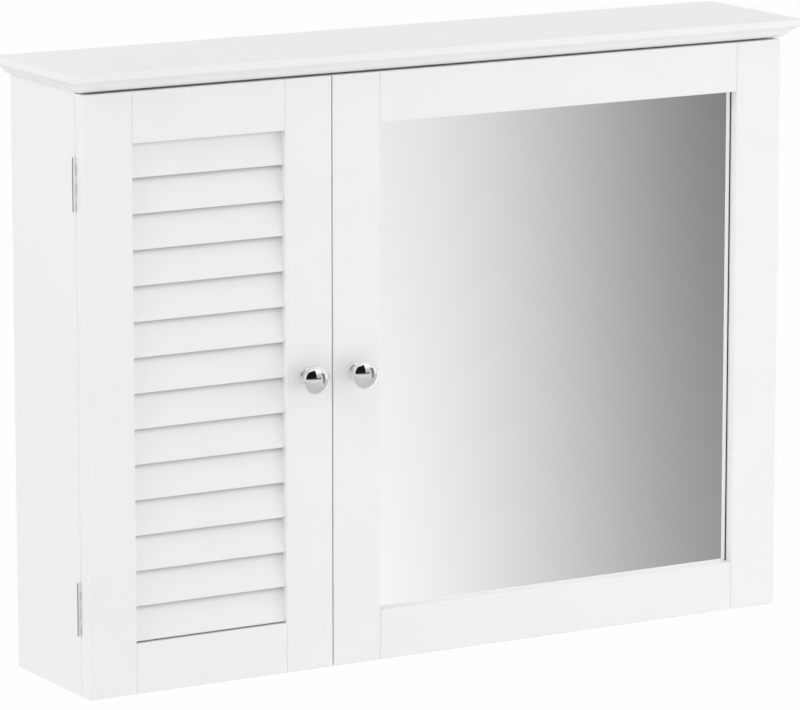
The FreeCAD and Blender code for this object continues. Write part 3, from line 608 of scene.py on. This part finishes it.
# Studio: a plain pale floor some way below the cabinet, which hangs free in front of white. Two
# soft lamps and an even surround light it. Five cards, which show in reflections alone, give the
# mirror and the chrome their light and dark.
WHITE = (1.0, 1.0, 1.0, 1.0)
SURROUND = 0.82
FLOOR_DROP = 0.35
FLOOR_SIZE = 40.0
FLOOR_PALE = (0.93, 0.93, 0.93)
FLOOR_GLOW = 0.94
LATER_LIGHT = 1.2
CARD_GAP = 0.004
DARK_CARD_Y = -5.0
DARK_CARD_LEFT = -12.0
DARK_CARD_RIGHT = 3.5
DARK_CARD_STEP_X = 0.34
DARK_CARD_STEP_Z = 0.8
DARK_CARD_TOP = 7.0


def seen_directly(tree):
    """1 for rays that show the background itself: from the camera, off metal or through glass."""
    path = tree.nodes.new("ShaderNodeLightPath").outputs
    by_object = reckon(tree, "MAXIMUM", path["Is Glossy Ray"], path["Is Transmission Ray"])
    return reckon(tree, "MAXIMUM", path["Is Camera Ray"], by_object)


def blended(tree, share, first, second):
    """Two shaders mixed by a share from 0 to 1."""
    mix = tree.nodes.new("ShaderNodeMixShader")
    tree.links.new(share, mix.inputs["Fac"])
    tree.links.new(first, mix.inputs[1])
    tree.links.new(second, mix.inputs[2])
    return mix.outputs["Shader"]


world = bpy.data.worlds.new("studio")
world.use_nodes = True
bpy.context.scene.world = world
surround = world.node_tree.nodes["Background"]
surround.inputs["Strength"].default_value = SURROUND
surround.inputs["Color"].default_value = WHITE
plain = world.node_tree.nodes.new("ShaderNodeBackground")
plain.inputs["Color"].default_value = WHITE
sky = blended(
    world.node_tree, seen_directly(world.node_tree), surround.outputs[0], plain.outputs[0]
)
world.node_tree.links.new(sky, world.node_tree.nodes["World Output"].inputs["Surface"])


def stage_finish(name):
    """A material without a shader: the material, its node tree and its surface socket."""
    material = bpy.data.materials.new(name)
    material.use_nodes = True
    tree = material.node_tree
    tree.nodes.remove(tree.nodes["Principled BSDF"])
    return material, tree, tree.nodes["Material Output"].inputs["Surface"]


def stage_plane(name, corners, material):
    """A flat piece of the studio, not of the object."""
    mesh = bpy.data.meshes.new(name)
    mesh.from_pydata(corners, [], [tuple(range(len(corners)))])
    mesh.materials.append(material)
    plane = bpy.data.objects.new(name, mesh)
    bpy.context.scene.collection.objects.link(plane)
    return plane


def lying(x, y, z):
    """Corners of a level rectangle, from its ends in X and Y and its height."""
    return [(x[0], y[0], z), (x[1], y[0], z), (x[1], y[1], z), (x[0], y[1], z)]


def standing(x, y, z):
    """Corners of a rectangle that faces the wall, from its ends in X and Z and its depth."""
    return [(x[0], y, z[0]), (x[1], y, z[0]), (x[1], y, z[1]), (x[0], y, z[1])]


def floor_finish(name):
    """Pale and matt, close to white to the eye while the object's shadow still shows on it; clear
    from below."""
    material, tree, surface = stage_finish(name)
    matt = tree.nodes.new("ShaderNodeBsdfDiffuse")
    matt.inputs["Color"].default_value = (*FLOOR_PALE, 1.0)
    glow = tree.nodes.new("ShaderNodeEmission")
    glow.inputs["Strength"].default_value = 1.0
    share = reckon(tree, "MULTIPLY", seen_directly(tree), FLOOR_GLOW)
    lit = blended(tree, share, matt.outputs[0], glow.outputs[0])
    clear = tree.nodes.new("ShaderNodeBsdfTransparent")
    sides = tree.nodes.new("ShaderNodeNewGeometry")
    one_sided = blended(tree, sides.outputs["Backfacing"], lit, clear.outputs[0])
    tree.links.new(one_sided, surface)
    return material


low, high = cad_box
floor_z = low.z - FLOOR_DROP
floor_ends = (-FLOOR_SIZE / 2, FLOOR_SIZE / 2)
stage_plane("floor", lying(floor_ends, floor_ends, floor_z), floor_finish("studio_floor"))


def soft_lamp(name, at, towards, size, power):
    """A square lamp that neither the camera nor a reflection shows."""
    lamp = bpy.data.lights.new(name, "AREA")
    lamp.shape = "SQUARE"
    lamp.size = size
    lamp.energy = power
    holder = bpy.data.objects.new(name, lamp)
    bpy.context.scene.collection.objects.link(holder)
    holder.location = at
    holder.rotation_euler = (Vector(towards) - Vector(at)).to_track_quat("-Z", "Y").to_euler()
    holder.visible_camera = False
    holder.visible_glossy = False


middle = (low + high) / 2
soft_lamp("side_lamp", at=(-3.8, -0.88, 2.25), towards=middle, size=1.4, power=36.0)
soft_lamp("front_lamp", at=(1.9, -1.4, 0.0), towards=middle, size=1.6, power=12.5)


def card_finish(name, shades):
    """Light that adds up shades, each passing softly along an axis, between two places, from one
    level to another. Light past its first reflection finds an even white here."""
    material, tree, surface = stage_finish(name)
    place = axes(tree, tree.nodes.new("ShaderNodeTexCoord").outputs["Object"])
    total = 0.0
    for shade in shades:
        passing = stretch(
            tree, place[shade["axis"]], shade["places"], shade["levels"], "SMOOTHSTEP"
        )
        total = reckon(tree, "ADD", total, passing)
    path = tree.nodes.new("ShaderNodeLightPath")
    later = reckon(tree, "SUBTRACT", path.outputs["Ray Depth"], 1.0)
    either = tree.nodes.new("ShaderNodeMix")
    tree.links.new(later, either.inputs["Factor"])
    tree.links.new(total, either.inputs["A"])
    either.inputs["B"].default_value = LATER_LIGHT
    glow = tree.nodes.new("ShaderNodeEmission")
    tree.links.new(either.outputs["Result"], glow.inputs["Strength"])
    tree.links.new(glow.outputs[0], surface)
    return material


def reflected_card(name, corners, *shades):
    """A card that shows in reflections alone, and throws no shadow."""
    card = stage_plane(name, corners, card_finish(name, shades))
    card.visible_camera = False
    card.visible_diffuse = False
    card.visible_shadow = False


reflected_card(
    "mirror_card",
    standing(x=(0.42, 1.5), y=-1.0, z=(-0.79, 0.5)),
    {"axis": "X", "places": (0.38, 0.94), "levels": (0.95, 0.25)},
    {"axis": "Z", "places": (-0.99, 0.21), "levels": (0.088, -0.088)},
)
reflected_card(
    "bright_card",
    standing(x=(0.25, 2.7), y=-2.5, z=(0.4, 4.5)),
    {"axis": "Z", "places": (0.4, 2.6), "levels": (0.5, 1.4)},
)
reflected_card(
    "dark_card",
    [
        (DARK_CARD_LEFT, DARK_CARD_Y, floor_z),
        (DARK_CARD_RIGHT, DARK_CARD_Y, floor_z),
        (DARK_CARD_RIGHT, DARK_CARD_Y, DARK_CARD_STEP_Z),
        (DARK_CARD_STEP_X, DARK_CARD_Y, DARK_CARD_STEP_Z),
        (DARK_CARD_STEP_X, DARK_CARD_Y, DARK_CARD_TOP),
        (DARK_CARD_LEFT, DARK_CARD_Y, DARK_CARD_TOP),
    ],
    {"axis": "Z", "places": (floor_z, DARK_CARD_STEP_Z), "levels": (0.92, 0.012)},
)
reflected_card(
    "floor_card",
    lying(x=(-6.0, 6.0), y=(-5.0, 0.6), z=floor_z + CARD_GAP),
    {"axis": "Y", "places": (-5.0, -0.3), "levels": (0.92, 0.66)},
)
reflected_card(
    "left_card",
    lying(x=(-7.0, -1.4), y=(-0.5, 3.0), z=floor_z + 2 * CARD_GAP),
    {"axis": "X", "places": (-4.2, -1.6), "levels": (0.03, 0.35)},
)

# Camera: a long lens from the left and a little above, at the photograph's viewing angle. It has no
# shift and no roll, so other views keep the cabinet in the middle of their frame.
CAMERA_AT = (-2.1715, -3.7944, 0.6249)
CAMERA_TURN = math.radians(30.15)
CAMERA_DIP = math.radians(11.056)
CAMERA_LENS = 240.75
CAMERA_SENSOR = 36.0
camera = bpy.data.cameras.new("camera")
camera.lens = CAMERA_LENS
camera.sensor_width = CAMERA_SENSOR
viewer = bpy.data.objects.new("camera", camera)
bpy.context.scene.collection.objects.link(viewer)
viewer.matrix_world = (
    Matrix.Translation(CAMERA_AT)
    @ Matrix.Rotation(-CAMERA_TURN, 4, "Z")
    @ Matrix.Rotation(math.pi / 2 - CAMERA_DIP, 4, "X")
)
bpy.context.scene.camera = viewer
bpy.context.scene.view_settings.view_transform = "Standard"
